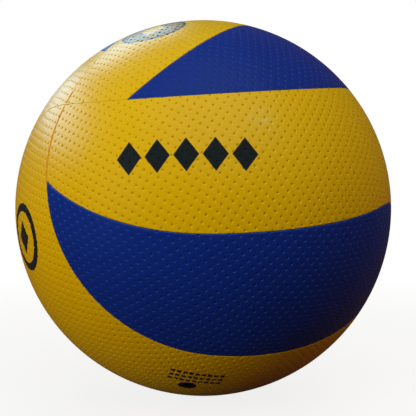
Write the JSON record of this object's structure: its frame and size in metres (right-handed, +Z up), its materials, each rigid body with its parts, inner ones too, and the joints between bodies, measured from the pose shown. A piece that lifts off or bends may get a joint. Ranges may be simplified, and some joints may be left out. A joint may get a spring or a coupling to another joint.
{
  "type": "volleyball",
  "caption": "Size 5 glued volleyball: yellow and blue swirled cover panels on foam backings over a rubber carcass, thread winding and bladder with a needle valve.",
  "frame": {"origin": "the middle of the ball", "axes": "+Z up as the ball lies in the picture, -Y towards the viewer, so the valve is low at the front"},
  "size_m": [0.21, 0.21, 0.21],
  "materials": {
    "yellow_cover": "satin, pitted microfibre leather",
    "blue_cover": "satin, pitted microfibre leather",
    "foam": "closed-cell foam",
    "carcass_rubber": "matte",
    "nylon_thread": "wound thread",
    "butyl_rubber": "matte",
    "valve_rubber": "matte",
    "plug_rubber": "matte"
  },
  "bodies": {
    "root": {"cover_yellow_1": "yellow_cover", "cover_yellow_2": "yellow_cover", "cover_yellow_3": "yellow_cover", "cover_yellow_4": "yellow_cover", "cover_blue_1": "blue_cover", "cover_blue_2": "blue_cover", "cover_blue_3": "blue_cover", "cover_blue_4": "blue_cover", "foam_yellow_1": "foam", "foam_yellow_2": "foam", "foam_yellow_3": "foam", "foam_yellow_4": "foam", "foam_blue_1": "foam", "foam_blue_2": "foam", "foam_blue_3": "foam", "foam_blue_4": "foam", "carcass": "carcass_rubber", "winding": "nylon_thread", "bladder": "butyl_rubber", "valve_housing": "valve_rubber", "valve_plug": "plug_rubber"}
  },
  "joints": []
}
